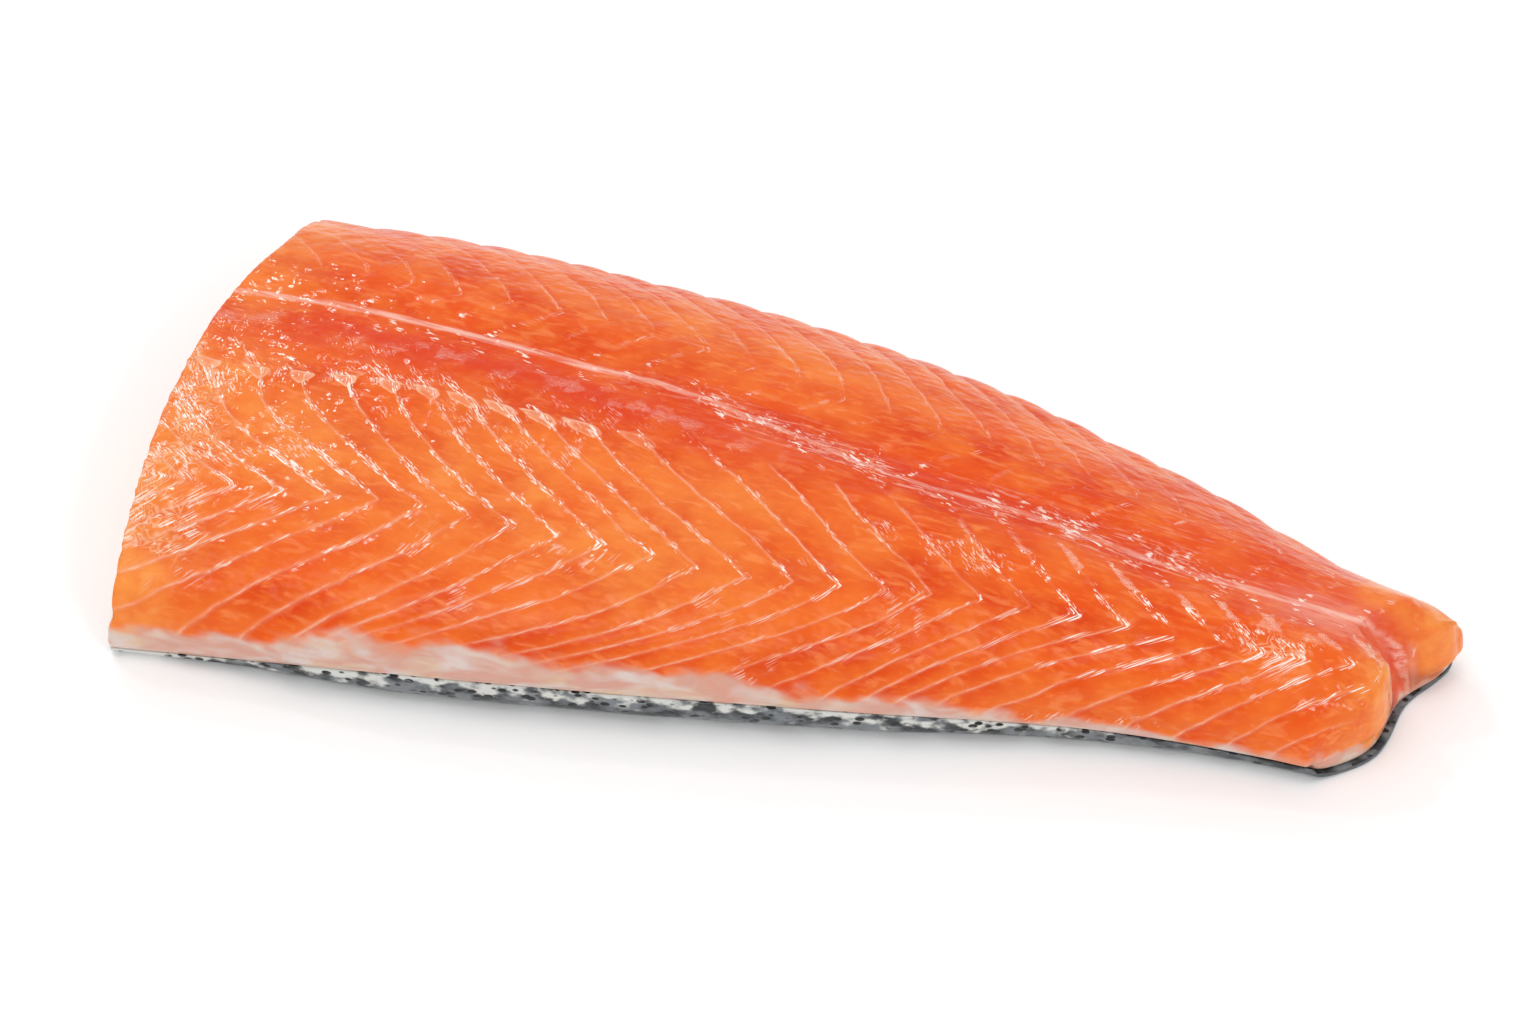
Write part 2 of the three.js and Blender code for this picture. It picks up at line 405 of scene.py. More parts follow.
def finer_above(piece: Object, lowest_facing: float) -> None:
    """Splits every face that doesn't look down, for detail where it is seen.

    Args:
        piece: The object whose mesh is refined.
        lowest_facing: Faces whose normal's height is under this stay coarse.
    """
    mesh = bmesh.new()
    mesh.from_mesh(piece.data)
    seen = [face for face in mesh.faces if face.normal.z > lowest_facing]
    edges = list({edge for face in seen for edge in face.edges})
    cut = bmesh.ops.subdivide_edges(mesh, edges=edges, cuts=1, use_grid_fill=True)
    fresh = [part for part in cut["geom_inner"] if isinstance(part, bmesh.types.BMVert)]
    bmesh.ops.smooth_vert(
        mesh, verts=fresh, factor=0.35, use_axis_x=True, use_axis_y=True, use_axis_z=True
    )
    mesh.to_mesh(piece.data)
    mesh.free()


def read_points(piece: Object) -> tuple[Array, Array]:
    """Reads a piece's mesh.

    Args:
        piece: The object.

    Returns:
        Its points in millimetres and the unit normals there.
    """
    points = np.empty(len(piece.data.vertices) * 3)
    piece.data.vertices.foreach_get("co", points)
    normals = np.empty(len(points))
    piece.data.vertex_normals.foreach_get("vector", normals)
    return points.reshape(-1, 3) / MM, normals.reshape(-1, 3)


def write_points(piece: Object, points: Array) -> None:
    """Writes moved points back to a piece's mesh and shades it smooth.

    Args:
        piece: The object.
        points: Its points in millimetres.
    """
    piece.data.vertices.foreach_set("co", (points * MM).ravel())
    piece.data.polygons.foreach_set("use_smooth", np.ones(len(piece.data.polygons), bool))
    piece.data.update()


def store_field(piece: Object, name: str, *columns: Array) -> None:
    """Keeps three numbers at every point of a piece for its material to read.

    Args:
        piece: The object.
        name: The attribute's name.
        columns: Three lists of numbers, one number to a point.
    """
    attribute = piece.data.attributes.new(name, "FLOAT_VECTOR", "POINT")
    attribute.data.foreach_set("vector", np.stack(columns, axis=1).astype(np.float32).ravel())


@dataclass(frozen=True)
class RawSalmonMuscle:
    """Raw farmed salmon, knife cut: wet, slightly see-through orange muscle.

    Light sinks a few millimetres in and comes back warm, pale membranes part the flakes, and
    the juice on them gives small hard glints, painted into the colour as well as lit.
    """

    deep: str = "DF4203"
    middle: str = "EC560B"
    light: str = "F77F2B"
    # Pale yellow-orange: the flesh's own paler tone, and painted light on the tail lobes and over the
    # belly.
    pale_tone_and_painted_light: str = "FD9E49"
    red: str = "E03C10"
    line: str = "FFB794"
    wisp: str = "FD9A5E"
    # Pale membrane film; on flap rims and fold ridges it is partly painted highlight.
    film: str = "FFC49F"
    # Near white, for painted glints: highlights laid into the colour, partly torn fibre ends.
    painted_glint_and_torn_end: str = "FFF4E8"
    # Pale pink, for a painted sheen by the tail's top, partly a thin fascia.
    sheen: str = "F4A08C"
    seam: str = "FBC3B2"
    band_pink: str = "DA4632"
    recess: str = "EE7454"
    fat: str = "DDD0CA"
    fat_pink: str = "D8A999"
    fat_cream: str = "DDB888"
    dark_muscle: str = "9A4424"
    roughness: float = 0.42
    ior: float = 1.38
    coat_roughness: float = 0.07
    scatter_mm: float = 2.0
    # What is left of a pattern's pace along the fish, where muscle fibres draw it out.
    drawn_out: float = 0.36
    strands_drawn_out: float = 0.08
    # Length of one swing of each pattern.
    line_sway_mm: float = 5.0
    line_gap_mm: float = 3.4
    cloud_mm: float = 9.0
    patch_mm: float = 13.0
    thread_mm: float = 1.1
    wisp_mm: float = 2.4
    pale_mm: float = 4.0
    strand_mm: float = 0.9
    white_strand_mm: float = 0.55
    fold_cloud_mm: float = 4.5
    glint_cluster_mm: float = 4.5
    seam_sway_mm: float = 8.0
    fat_border_mm: float = 5.0
    fat_patch_mm: float = 5.0
    fat_blush_mm: float = 4.5
    swell_mm: float = 3.4
    ripple_mm: float = 1.8
    # Level lines of its cloud that are folds: real folds are finer, and wouldn't show.
    fold_count: float = 13.0
    # Pace of the painted glints across the septa, to a flake, and along them, to a millimetre.
    glint_pace: float = 13.0
    glint_drift: float = 0.55
    # Heights of the fine relief.
    line_height_mm: float = 0.05
    swell_height_mm: float = 0.5
    fold_height_mm: float = 0.07
    ripple_height_mm: float = 0.2
    flap_height_mm: float = 0.06
    strand_height_mm: float = 0.05

    def material(self) -> Material:
        """Builds the material.

        Returns:
            The material, which reads the fields that its piece keeps.
        """
        bench = MuscleBench(self)
        bench.septa()
        bench.muscle()
        bench.fibres()
        bench.flaps()
        bench.membrane()
        bench.glints()
        bench.seam()
        bench.fat()
        normal = bench.relief()
        shader = bench.add(
            "BsdfPrincipled",
            Base_Color=bench.colour,
            Roughness=self.roughness,
            IOR=self.ior,
            Subsurface_Weight=0.3,
            Subsurface_Radius=(1.0, 0.42, 0.2),
            Subsurface_Scale=self.scatter_mm * MM,
            Specular_IOR_Level=0.08,
            Coat_Weight=0.55,
            Coat_Roughness=self.coat_roughness,
            Coat_IOR=1.34,
            Normal=normal,
            Coat_Normal=normal,
        )
        bench.add("OutputMaterial", shader)
        return bench.material


class MuscleBench(NodeBench):
    """The muscle's material while its layers are laid one over another."""

    def __init__(self, finish: RawSalmonMuscle) -> None:
        """Starts the material with its places in millimetres and the fields of its piece.

        Args:
            finish: The colours and sizes that the layers use.
        """
        super().__init__("raw_salmon_muscle")
        self.finish = finish
        place = self.add("TexCoord", out="Object")
        self.even = self.add("Mapping", place, Scale=(1 / MM,) * 3)
        self.drawn = self.add("Mapping", place, Scale=(finish.drawn_out / MM, 1 / MM, 1 / MM))
        self.strands = self.add("Mapping", place, Scale=(finish.strands_drawn_out / MM, 1 / MM, 1 / MM))
        self.slow = self.add("Mapping", place, Scale=(finish.glint_drift / MM,) * 3)
        self.number, self.closeness, self.strength = self.field("flake")
        self.from_seam, self.over_fat, self.from_flap = self.field("across")
        self.red, self.fibre, self.crinkle = self.field("zone")
        self.beads, self.paleness_and_painted_light, self.breadth = self.field("wet")
        self.depth, self.end_face, self.flap_share = self.field("cut")
        self.sheen, self.recess, self.tail_rim = self.field("tail")
        self.beside = self.add("Math", self.from_seam, operation="ABSOLUTE")
        self.on_top = self.add("MapRange", self.end_face, 0, 1, 1, 0.15)

    def septa(self) -> None:
        """Works out the septa: thin pale lines, slightly wavy and here and there broken."""
        add, finish = self.add, self.finish
        sway = add("TexNoise", self.even, Scale=1 / finish.line_sway_mm, Detail=2)
        sway = add("Math", sway, 0.5, **MINUS)
        self.wavy = add("Math", sway, 0.15, self.number, **TIMES_PLUS)
        self.within = add("Math", self.wavy, operation="FRACT")
        nearest = add("Math", self.wavy, 0.5, operation="PINGPONG")
        self.off_line = add("Math", nearest, self.closeness, operation="DIVIDE")
        self.reach = add("Math", self.off_line, self.breadth, operation="DIVIDE")
        self.gaps = add("TexNoise", self.even, Scale=1 / finish.line_gap_mm, Detail=3)
        whole = add("MapRange", self.gaps, 0.38, 0.62, 0.2, 1, **EASED)
        thread = add("MapRange", self.reach, 0.35, 1, 1, 0, **EASED)
        line = add("Math", thread, whole, **TIMES)
        self.line = add("Math", line, self.strength, **TIMES)

    def muscle(self) -> None:
        """Lays the muscle's colour: paler towards the next septum, with painted shade in a narrow band just
        past each septum and painted light among its pale zones.
        """
        add, finish = self.add, self.finish
        self.cloud = add("TexNoise", self.drawn, Scale=1 / finish.cloud_mm, Detail=4)
        mottle = add("MapRange", self.cloud, 0.34, 0.66, 0, 1, **EASED)
        rise = add("MapRange", self.within, 0.1, 0.95, 0, 0.5, **EASED)
        rise = add("Math", rise, self.strength, **TIMES)
        patches = add("TexNoise", self.even, Scale=1 / finish.patch_mm, Detail=2)
        patches = add("MapRange", patches, 0.4, 0.68, 0, 0.5, **EASED)
        threads = add("TexNoise", self.drawn, Scale=1 / finish.thread_mm, Detail=3)
        threads = add("MapRange", threads, 0.48, 0.72, 0, 0.45, **EASED)
        wisps = add("TexNoise", self.drawn, Scale=1 / finish.wisp_mm, Detail=5, Distortion=0.6)
        wisps = add("MapRange", wisps, 0.52, 0.7, 0, 0.4, **EASED)
        # Painted shade: a narrow darker band just past each septum, where its groove is.
        painted_groove_shade = add("MapRange", self.within, 0.03, 0.2, 0.6, 0, **EASED)
        painted_groove_shade = add("Math", painted_groove_shade, self.strength, **TIMES)
        # Paler zones: own tone by the head-side cut, painted light on the tail lobes and a broad painted
        # sheen over the belly.
        pale = add("TexNoise", self.even, Scale=1 / finish.pale_mm, Detail=3)
        pale = add("MapRange", pale, 0.3, 0.65, 0.45, 1)
        pale = add("Math", pale, self.paleness_and_painted_light, **TIMES)
        blush = add("MapRange", self.cloud, 0.4, 0.6, 0.25, 0.9, **EASED)
        blush = add("Math", blush, self.red, **TIMES)
        self.colour = add("Mix", mottle, finish.deep, finish.middle, **RGBA)
        paler = ((rise, finish.light), (patches, finish.light), (threads, finish.light))
        zones = ((painted_groove_shade, finish.deep), (pale, finish.pale_tone_and_painted_light), (blush, finish.red))
        for share, coat in (*paler, (wisps, finish.wisp), *zones):
            self.colour = add("Mix", share, self.colour, coat, **RGBA)

    def fibres(self) -> None:
        """Lays the long fibres by the seam, what the two cuts show, and the septa over them."""
        add, finish = self.add, self.finish
        self.strand = add("TexNoise", self.strands, Scale=1 / finish.strand_mm, Detail=3)
        pink = add("MapRange", self.strand, 0.4, 0.6, 0.15, 0.85, **EASED)
        pink = add("Math", pink, self.fibre, **TIMES)
        white = add("TexNoise", self.strands, Scale=1 / finish.white_strand_mm, Detail=2)
        white = add("MapRange", white, 0.55, 0.68, 0, 0.7, **EASED)
        white = add("Math", white, self.fibre, **TIMES)
        self.white = add("Math", white, self.on_top, **TIMES)
        # Painted sheen: a pale pink veil by the tail's top, broken up by the strands, partly a thin fascia.
        veil = add("MapRange", self.strand, 0.3, 0.6, 0.35, 1, **EASED)
        veil = add("Math", veil, self.sheen, **TIMES)
        under = add("Math", self.beside, -0.35, self.depth, **TIMES_PLUS)
        brown = add("MapRange", under, 11, 16, 0, 0.6, **EASED)
        inner = add("Math", self.end_face, self.recess, use_clamp=True, **MINUS)
        brown = add("Math", brown, inner, **TIMES)
        halo = add("MapRange", self.reach, 0.5, 2.6, 0.2, 0, **EASED)
        halo = add("Math", halo, self.strength, **TIMES)
        core = add("Math", self.line, 0.72, **TIMES)
        strands = ((pink, finish.band_pink), (self.white, finish.seam), (veil, finish.sheen))
        cuts = ((self.recess, finish.recess), (self.tail_rim, finish.seam), (brown, finish.dark_muscle))
        for share, coat in (*strands, *cuts, (halo, finish.line), (core, finish.line)):
            self.colour = add("Mix", share, self.colour, coat, **RGBA)

    def flaps(self) -> None:
        """Lays the flaps where ribs were lifted out: a septum's end flares towards the head."""
        add = self.add
        turned = add("Math", add("Math", self.wavy, 0.5, **PLUS), operation="FRACT")
        signed = add("Math", add("Math", turned, 0.5, **MINUS), self.closeness, operation="DIVIDE")
        flare = add("MapRange", self.from_flap, -4.5, -0.8, -0.9, 2.3, **EASED)
        aside = add("Math", add("Math", signed, 0.9, **PLUS), operation="ABSOLUTE")
        inside = add("Math", flare, aside, **MINUS)
        tip = add("Math", 0.8, self.from_flap, **MINUS)
        inward = add("Math", inside, tip, 2.4, operation="SMOOTH_MIN")
        flap = add("MapRange", inward, -0.3, 0.1, 0, 1, **EASED)
        flap = add("Math", flap, self.flap_share, **TIMES)
        self.flap = add("Math", flap, self.on_top, **TIMES)
        # The flaps are pale film; their rim is lighter still, partly a painted highlight along the edge.
        edge = add("MapRange", inward, 0.1, 0.9, 0.82, 0.3, **EASED)
        edge = add("Math", edge, add("MapRange", self.gaps, 0.4, 0.6, 0.65, 1.1), **TIMES)
        edge = add("Math", self.flap, edge, **TIMES)
        self.colour = add("Mix", edge, self.colour, self.finish.film, **RGBA)

    def membrane(self) -> None:
        """Lays loose wet membrane: its folds follow the level lines of a random cloud."""
        add, finish = self.add, self.finish
        folds = add("TexNoise", self.even, Scale=1 / finish.fold_cloud_mm, Detail=1, Distortion=1.2)
        folds = add("Math", folds, finish.fold_count, **TIMES)
        folds = add("MapRange", add("Math", folds, 1, operation="PINGPONG"), **EASED)
        self.folds = add("Math", folds, self.crinkle, **TIMES)
        # The ridges of the folds are tinted pale: the membrane's colour, partly a painted highlight on
        # them.
        ridge_tint_and_highlight = add("MapRange", self.folds, 0.4, 1.0, 0, 0.55, **EASED)
        self.colour = add("Mix", ridge_tint_and_highlight, self.colour, finish.film, **RGBA)

    def glints(self) -> None:
        """Lays painted highlights: near-white glints in the colour, partly torn fibre ends, drawn out along
        the septa.
        """
        add, finish = self.add, self.finish
        by_seam = add("MapRange", self.beside, 6, 11, 1, 0, **EASED)
        over = add("Math", self.number, finish.glint_pace, **TIMES)
        over = add("Mix", by_seam, over, self.from_seam)
        aligned = add("VectorMath", self.slow, add("CombineXYZ", over, over, 0.0), **PLUS)
        tick = add("TexNoise", aligned, Scale=1.0, Detail=1, Distortion=0.5)
        tick = add("MapRange", tick, 0.55, 0.6, 0, 1, **EASED)
        clusters = add("TexNoise", self.even, Scale=1 / finish.glint_cluster_mm, Detail=2)
        clusters = add("MapRange", clusters, 0.4, 0.56, 0, 1, **EASED)
        near = add("MapRange", self.off_line, 0.3, 1.3, 1, 0.06, **EASED)
        near = add("Math", near, self.beads, **TIMES)
        wet = add("Math", near, add("Math", self.crinkle, 0.7, **TIMES), operation="MAXIMUM")
        wet = add("Math", wet, clusters, **TIMES)
        # Painted highlight: near-white glints where the ticks meet the wet places.
        painted_glint_and_torn_end = add("Math", tick, wet, **TIMES)
        painted_glint_and_torn_end = add("Math", painted_glint_and_torn_end, self.on_top, **TIMES)
        painted_glint_and_torn_end = add("MapRange", painted_glint_and_torn_end, 0.08, 0.62, 0, 1, **EASED)
        painted_glint_and_torn_end = add("Math", painted_glint_and_torn_end, 0.95, **TIMES)
        self.colour = add("Mix", painted_glint_and_torn_end, self.colour, finish.painted_glint_and_torn_end, **RGBA)

    def seam(self) -> None:
        """Lays the backbone seam: a cord at the head end, frayed towards the tail."""
        add, finish = self.add, self.finish
        lean = add("TexNoise", self.even, Scale=1 / finish.seam_sway_mm, Detail=2)
        lean = add("Math", lean, 0.5, **MINUS)
        off_seam = add("Math", lean, 1.6, self.from_seam, **TIMES_PLUS)
        off_seam = add("Math", off_seam, operation="ABSOLUTE")
        edge = add("MapRange", self.fibre, 0.1, 0.7, 1.3, 0.9)
        edge = add("Math", edge, add("MapRange", self.end_face, 0, 1, 1, 0.55), **TIMES)
        cord = add("MapRange", off_seam, 0.35, edge, 1, 0, **EASED)
        fray = add("MapRange", self.strand, 0.35, 0.6, 0.25, 1, **EASED)
        fray = add("Math", fray, add("MapRange", self.fibre, 0, 0.7, 1, 0.55), **TIMES)
        cord = add("Math", cord, fray, **TIMES)
        cord = add("Math", cord, add("MapRange", self.recess, 0, 0.5, 1, 0.3), **TIMES)
        cord = add("Math", cord, 0.85, **TIMES)
        self.colour = add("Mix", cord, self.colour, finish.seam, **RGBA)

    def fat(self) -> None:
        """Lays the belly fat along the belly edge, with a ragged upper border."""
        add, finish = self.add, self.finish
        rag = add("TexNoise", self.drawn, Scale=1 / finish.fat_border_mm, Detail=2)
        rag = add("Math", rag, 0.5, **MINUS)
        above = add("Math", rag, 8, self.over_fat, **TIMES_PLUS)
        fatness = add("MapRange", above, -1.6, 1.4, 0.93, 0, **EASED)
        creamy = add("TexNoise", self.drawn, Scale=1 / finish.fat_patch_mm, Detail=3)
        creamy = add("MapRange", creamy, 0.42, 0.7, 0, 0.8)
        rosy = add("TexNoise", self.drawn, Scale=1 / finish.fat_blush_mm, Detail=2, Distortion=0.5)
        rosy = add("MapRange", rosy, 0.4, 0.6)
        veins = add("MapRange", self.cloud, 0.55, 0.75, 0, 0.4, **EASED)
        fat = add("Mix", creamy, finish.fat, finish.fat_cream, **RGBA)
        fat = add("Mix", rosy, fat, finish.fat_pink, **RGBA)
        fat = add("Mix", veins, fat, finish.light, **RGBA)
        self.colour = add("Mix", fatness, self.colour, fat, **RGBA)

    def relief(self) -> NodeSocket:
        """Turns the heights of all layers into a normal.

        Returns:
            The normal's socket.
        """
        add, finish = self.add, self.finish
        swell = add("TexNoise", self.even, Scale=1 / finish.swell_mm, Detail=1)
        ripple = add("TexNoise", self.drawn, Scale=1 / finish.ripple_mm, Detail=1)
        height = add("Math", self.line, finish.line_height_mm, **TIMES)
        broad = ((swell, finish.swell_height_mm), (self.folds, finish.fold_height_mm))
        fine = ((self.flap, finish.flap_height_mm), (self.white, finish.strand_height_mm))
        for part, rise_mm in (*broad, (ripple, finish.ripple_height_mm), *fine):
            height = add("Math", part, rise_mm, height, **TIMES_PLUS)
        return add("Bump", 1.0, MM, Height=height)


@dataclass(frozen=True)
class WetFishSkin:
    """Skin of a salmon, scaled by hand: silver at the belly, slate towards the back.

    The scales' guanine layer gives a grey metallic sheen under a film of water, with black
    pigment spots a couple of millimetres across.
    """

    white: str = "DADAD5"
    silver: str = "7C8184"
    slate: str = "2D3135"
    pigment: str = "17181A"
    inner_side: str = "5B5F62"
    roughness: float = 0.3
    # What is left of the pattern's pace along the fish.
    drawn_out: float = 0.6
    scale_mm: float = 2.4
    spot_mm: float = 1.9
    spot_patch_mm: float = 5.0
    cloud_mm: float = 4.0
    white_patch_mm: float = 2.6
    swell_mm: float = 4.0
    scale_height_mm: float = -0.3
    swell_height_mm: float = 0.6

    def material(self) -> Material:
        """Builds the material.

        Returns:
            The material, which reads the field flank of its piece.
        """
        bench = NodeBench("wet_fish_skin")
        add = bench.add
        place = add("TexCoord", out="Object")
        even = add("Mapping", place, Scale=(1 / MM,) * 3)
        drawn = add("Mapping", place, Scale=(self.drawn_out / MM, 1 / MM, 1 / MM))
        silvery, cut, rise = bench.field("flank")
        cloud = add("TexNoise", drawn, Scale=1 / self.cloud_mm, Detail=3)
        grey = add("MapRange", cloud, 0.38, 0.62, 0, 1, **EASED)
        colour = add("Mix", grey, self.slate, self.silver, **RGBA)
        patch_pace = 1 / self.white_patch_mm
        patches = add("TexNoise", drawn, Scale=patch_pace, Detail=3, W=3.0, noise_dimensions="4D")
        patches = add("Math", silvery, patches, **PLUS)
        patches = add("MapRange", patches, 0.98, 1.14, 0, 1, **EASED)
        colour = add("Mix", patches, colour, self.white, **RGBA)
        spots = add("TexVoronoi", drawn, Scale=1 / self.spot_mm, out="Distance")
        spot = add("MapRange", spots, 0.28, 0.38, 1, 0, **EASED)
        thinned = add("TexNoise", even, Scale=1 / self.spot_patch_mm, Detail=2)
        thinned = add("MapRange", thinned, 0.36, 0.48, 0, 1)
        spot = add("Math", spot, thinned, **TIMES)
        spot = add("Math", spot, rise, **TIMES)
        colour = add("Mix", spot, colour, self.pigment, **RGBA)
        colour = add("Mix", cut, colour, self.inner_side, **RGBA)
        scales = add("TexVoronoi", even, Scale=1 / self.scale_mm, Randomness=0.55, out="Distance")
        height = add("Math", scales, self.scale_height_mm, **TIMES)
        swell = add("TexNoise", even, Scale=1 / self.swell_mm, Detail=3)
        height = add("Math", swell, self.swell_height_mm, height, **TIMES_PLUS)
        normal = add("Bump", 1.0, MM, Height=height)
        shader = add(
            "BsdfPrincipled",
            Base_Color=colour,
            Roughness=self.roughness,
            Metallic=0.1,
            Specular_IOR_Level=0.25,
            Coat_Weight=0.5,
            Coat_Roughness=0.08,
            Coat_IOR=1.36,
            Normal=normal,
        )
        add("OutputMaterial", shader)
        return bench.material


@dataclass(frozen=True)
class Places:
    """Where each point of the flesh lies, in millimetres.

    Outward is the share of the way from the seam to the edge. The faces go from 0 to 1: end_face
    is 1 on both cut ends and tail_face on the one at the tail.
    """

    points: Array
    normals: Array
    along: Array
    across: Array
    height: Array
    depth: Array
    from_seam: Array
    outward: Array
    from_flap: Array
    end_face: Array
    tail_face: Array

    @classmethod
    def on(cls, piece: Object, body: Anatomy) -> Places:
        """Works the places out.

        Args:
            piece: The object whose points are placed.
            body: The anatomy that they are placed in.

        Returns:
            The places.
        """
        points, normals = read_points(piece)
        along, across = body.along_across(points)
        height = points[:, 2]
        top = curve(body.stations, body.thickness, along)
        seam = body.seam(along)
        from_seam = across - seam
        half = np.where(
            from_seam < 0,
            seam - curve(body.stations, body.belly_edge, along),
            curve(body.stations, body.back_edge, along) - seam,
        )
        end_face = smoothstep(np.abs(normals[:, 0]), 0.55, 0.85)
        depth = np.clip(top - height, 0, None)
        outward = np.abs(from_seam) / half
        from_flap = across - body.flap_row(along)
        tail_face = end_face * (normals[:, 0] > 0)
        where = (points, normals, along, across, height, depth)
        return cls(*where, from_seam, outward, from_flap, end_face, tail_face)


@dataclass(frozen=True)
class Layers:
    """What shows at each point of the flesh, from 0, absent, to 1 where it isn't a measure.

    The flake number is whole on a septum, and closeness is how much it grows in a millimetre;
    over_fat is the height over the border of the belly fat.
    """

    number: Array
    closeness: Array
    strength: Array
    over_fat: Array
    fibre: Array
    crinkle: Array
    flap_share: Array


@dataclass
class FleshPiece:
    """The muscle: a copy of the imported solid, sculpted into flakes, seam, flaps and fat."""

    anatomy: Anatomy
    finish: RawSalmonMuscle
    flake_bulge_mm: float = 0.22
    back_edge_bulge_mm: float = 0.5
    septum_groove_mm: float = 0.1
    line_half_width_mm: float = 0.28
    line_widening_mm: float = 0.16
    crinkle_mm: float = 0.4
    sway_mm: float = 0.5
    lumps_mm: float = 0.16
    cord_mm: float = 0.3
    furrow_mm: float = 0.5
    strands_mm: float = 0.5
    thin_fat_mm: float = 3.0
    fat_swell_mm: float = 0.4
    fat_lumps_mm: float = 0.6
    fat_border_groove_mm: float = 0.3
    flap_mm: float = 0.5
    lobe_mm: float = 1.3
    cleft_mm: float = 1.2
    corner_tip_mm: float = 4.0
    back_rim_mm: float = 3.4

    def build(self) -> Object:
        """Builds, shapes and dresses the piece.

        Returns:
            The finished object.
        """
        piece = refined_copy("flesh", "salmon_flesh", Margin.SOFT, levels=2)
        finer_above(piece, lowest_facing=-0.45)
        self.sculpt(piece)
        piece.data.materials.clear()
        piece.data.materials.append(self.finish.material())
        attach(piece, "root")
        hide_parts("flesh")
        return piece

    def sculpt(self, piece: Object) -> None:
        """Moves every point out or in and stores the fields that the material reads.

        Args:
            piece: The smooth copy.
        """
        body = self.anatomy
        at = Places.on(piece, body)
        number, closeness = self.flakes(at)
        layers = Layers(
            number=number,
            closeness=closeness,
            strength=self.septum_strength(at),
            over_fat=self.over_fat(at),
            fibre=self.fibrous(at),
            crinkle=self.crinkled(at),
            flap_share=smoothstep(at.along, 125, 85) * (at.from_seam < 0) * smoothstep(at.height, 15, 20),
        )
        # The underside and the skirt over the skin stay as they are, clear of the skin.
        rim = curve(body.stations, body.rim_height, at.along)
        rim = np.where(at.from_seam < 0, rim, self.back_rim_mm)
        hold = smoothstep(at.height - rim, 0.2, 2.2) * smoothstep(at.normals[:, 2], -0.5, -0.1)
        moved = at.points + at.normals * (self.lift(at, layers) * hold)[:, None]
        # The far corner of the head-side cut is drawn out to a tip.
        corner = smoothstep(at.along, 16, 2) * smoothstep(at.across, 24, 46)
        moved[:, 0] -= self.corner_tip_mm * corner * smoothstep(at.height, 4, 16)
        write_points(piece, moved)
        self.store(piece, at, layers)

    def store(self, piece: Object, at: Places, layers: Layers) -> None:
        """Keeps what the material reads on the piece.

        Args:
            piece: The sculpted piece.
            at: Where its points lay before they were moved.
            layers: What shows at them.
        """
        lower_left = smoothstep(at.along, 130, 70) * smoothstep(at.outward, 0.55, 0.68)
        lower_left = lower_left * (at.from_seam < 0)
        breadth = self.line_half_width_mm + self.line_widening_mm * lower_left
        # Painted sheen, partly a thin fascia, near the top of the tail end.
        sheen = 0.75 * bell(at.along - 251, 13) * bell(at.across - 3, 5) * (1 - at.tail_face)
        recess = 0.8 * at.tail_face * bell(at.across - 5, 2.4)
        edges = 0.7 * at.tail_face * (bell(at.across + 1.5, 1.1) + 0.7 * bell(at.across - 8.5, 0.7))
        store_field(piece, "flake", layers.number, layers.closeness, layers.strength)
        store_field(piece, "across", at.from_seam, layers.over_fat, at.from_flap)
        store_field(piece, "zone", self.red_band(at), layers.fibre, layers.crinkle)
        store_field(piece, "wet", self.painted_glint_and_film_places(at), self.paleness_and_painted_light(at), breadth)
        store_field(piece, "cut", at.depth, at.end_face, layers.flap_share)
        store_field(piece, "tail", sheen, recess, edges)

    def flakes(self, at: Places) -> tuple[Array, Array]:
        """Numbers the flakes.

        Args:
            at: Where the points lie.

        Returns:
            The flake number and how much it grows in a millimetre.
        """
        body = self.anatomy
        # Faces that look up or out keep their flakes; only the two cut ends see them in depth.
        seen = at.depth * at.end_face
        round_flank = at.across + np.sign(at.from_seam) * body.flank_share * at.depth * (1 - at.end_face)
        wander = 0.13 * Unevenness(3).at(at.points, 22) + 0.06 * Unevenness(4).at(at.points, 8)
        number = body.flake(at.along, round_flank, seen) + wander
        step = 0.5
        slope_along = body.flake(at.along + step, round_flank, seen) + wander - number
        slope_across = body.flake(at.along, round_flank + step, seen) + wander - number
        return number, np.clip(np.hypot(slope_along, slope_across) / step, 0.05, 0.5)

    def over_fat(self, at: Places) -> Array:
        """Height over the border of the belly fat, which thins out under the muscle.

        Args:
            at: Where the points lie.

        Returns:
            Heights in millimetres, negative in the fat.
        """
        top = curve(self.anatomy.fat_knots, self.anatomy.fat_top, at.along) - self.thin_fat_mm
        top = self.thin_fat_mm + top * smoothstep(at.outward, 0.5, 0.8)
        return at.height - np.where(at.from_seam < 0, top, self.thin_fat_mm)

    def lift(self, at: Places, layers: Layers) -> Array:
        """How far each point is moved out along its normal.

        Args:
            at: Where the points lie.
            layers: What shows at them.

        Returns:
            Lengths in millimetres.
        """
        # Flakes bulge between grooves, most of all where the back edge rolls down.
        nearest = np.abs(layers.number - np.round(layers.number))
        rolled = smoothstep(at.outward, 0.72, 0.95) * (at.from_seam > 0)
        bulge = self.flake_bulge_mm + self.back_edge_bulge_mm * rolled
        lift = bulge * (1 - (1 - 2 * nearest) ** 2.4) * np.maximum(layers.strength, rolled)
        lift -= self.septum_groove_mm * bell(nearest / layers.closeness, 1.2) * layers.strength
        # Wrinkles of loose membrane, then broad and small unevenness.
        folds = 1 - np.abs(Unevenness(11).at(at.points, (3.6, 2.6, 3))) * 2.4
        lift += self.crinkle_mm * layers.crinkle * np.clip(folds, -0.6, 1)
        lift += self.sway_mm * Unevenness(5).at(at.points, 26)
        lift += self.lumps_mm * Unevenness(6).at(at.points, (9, 5, 6))
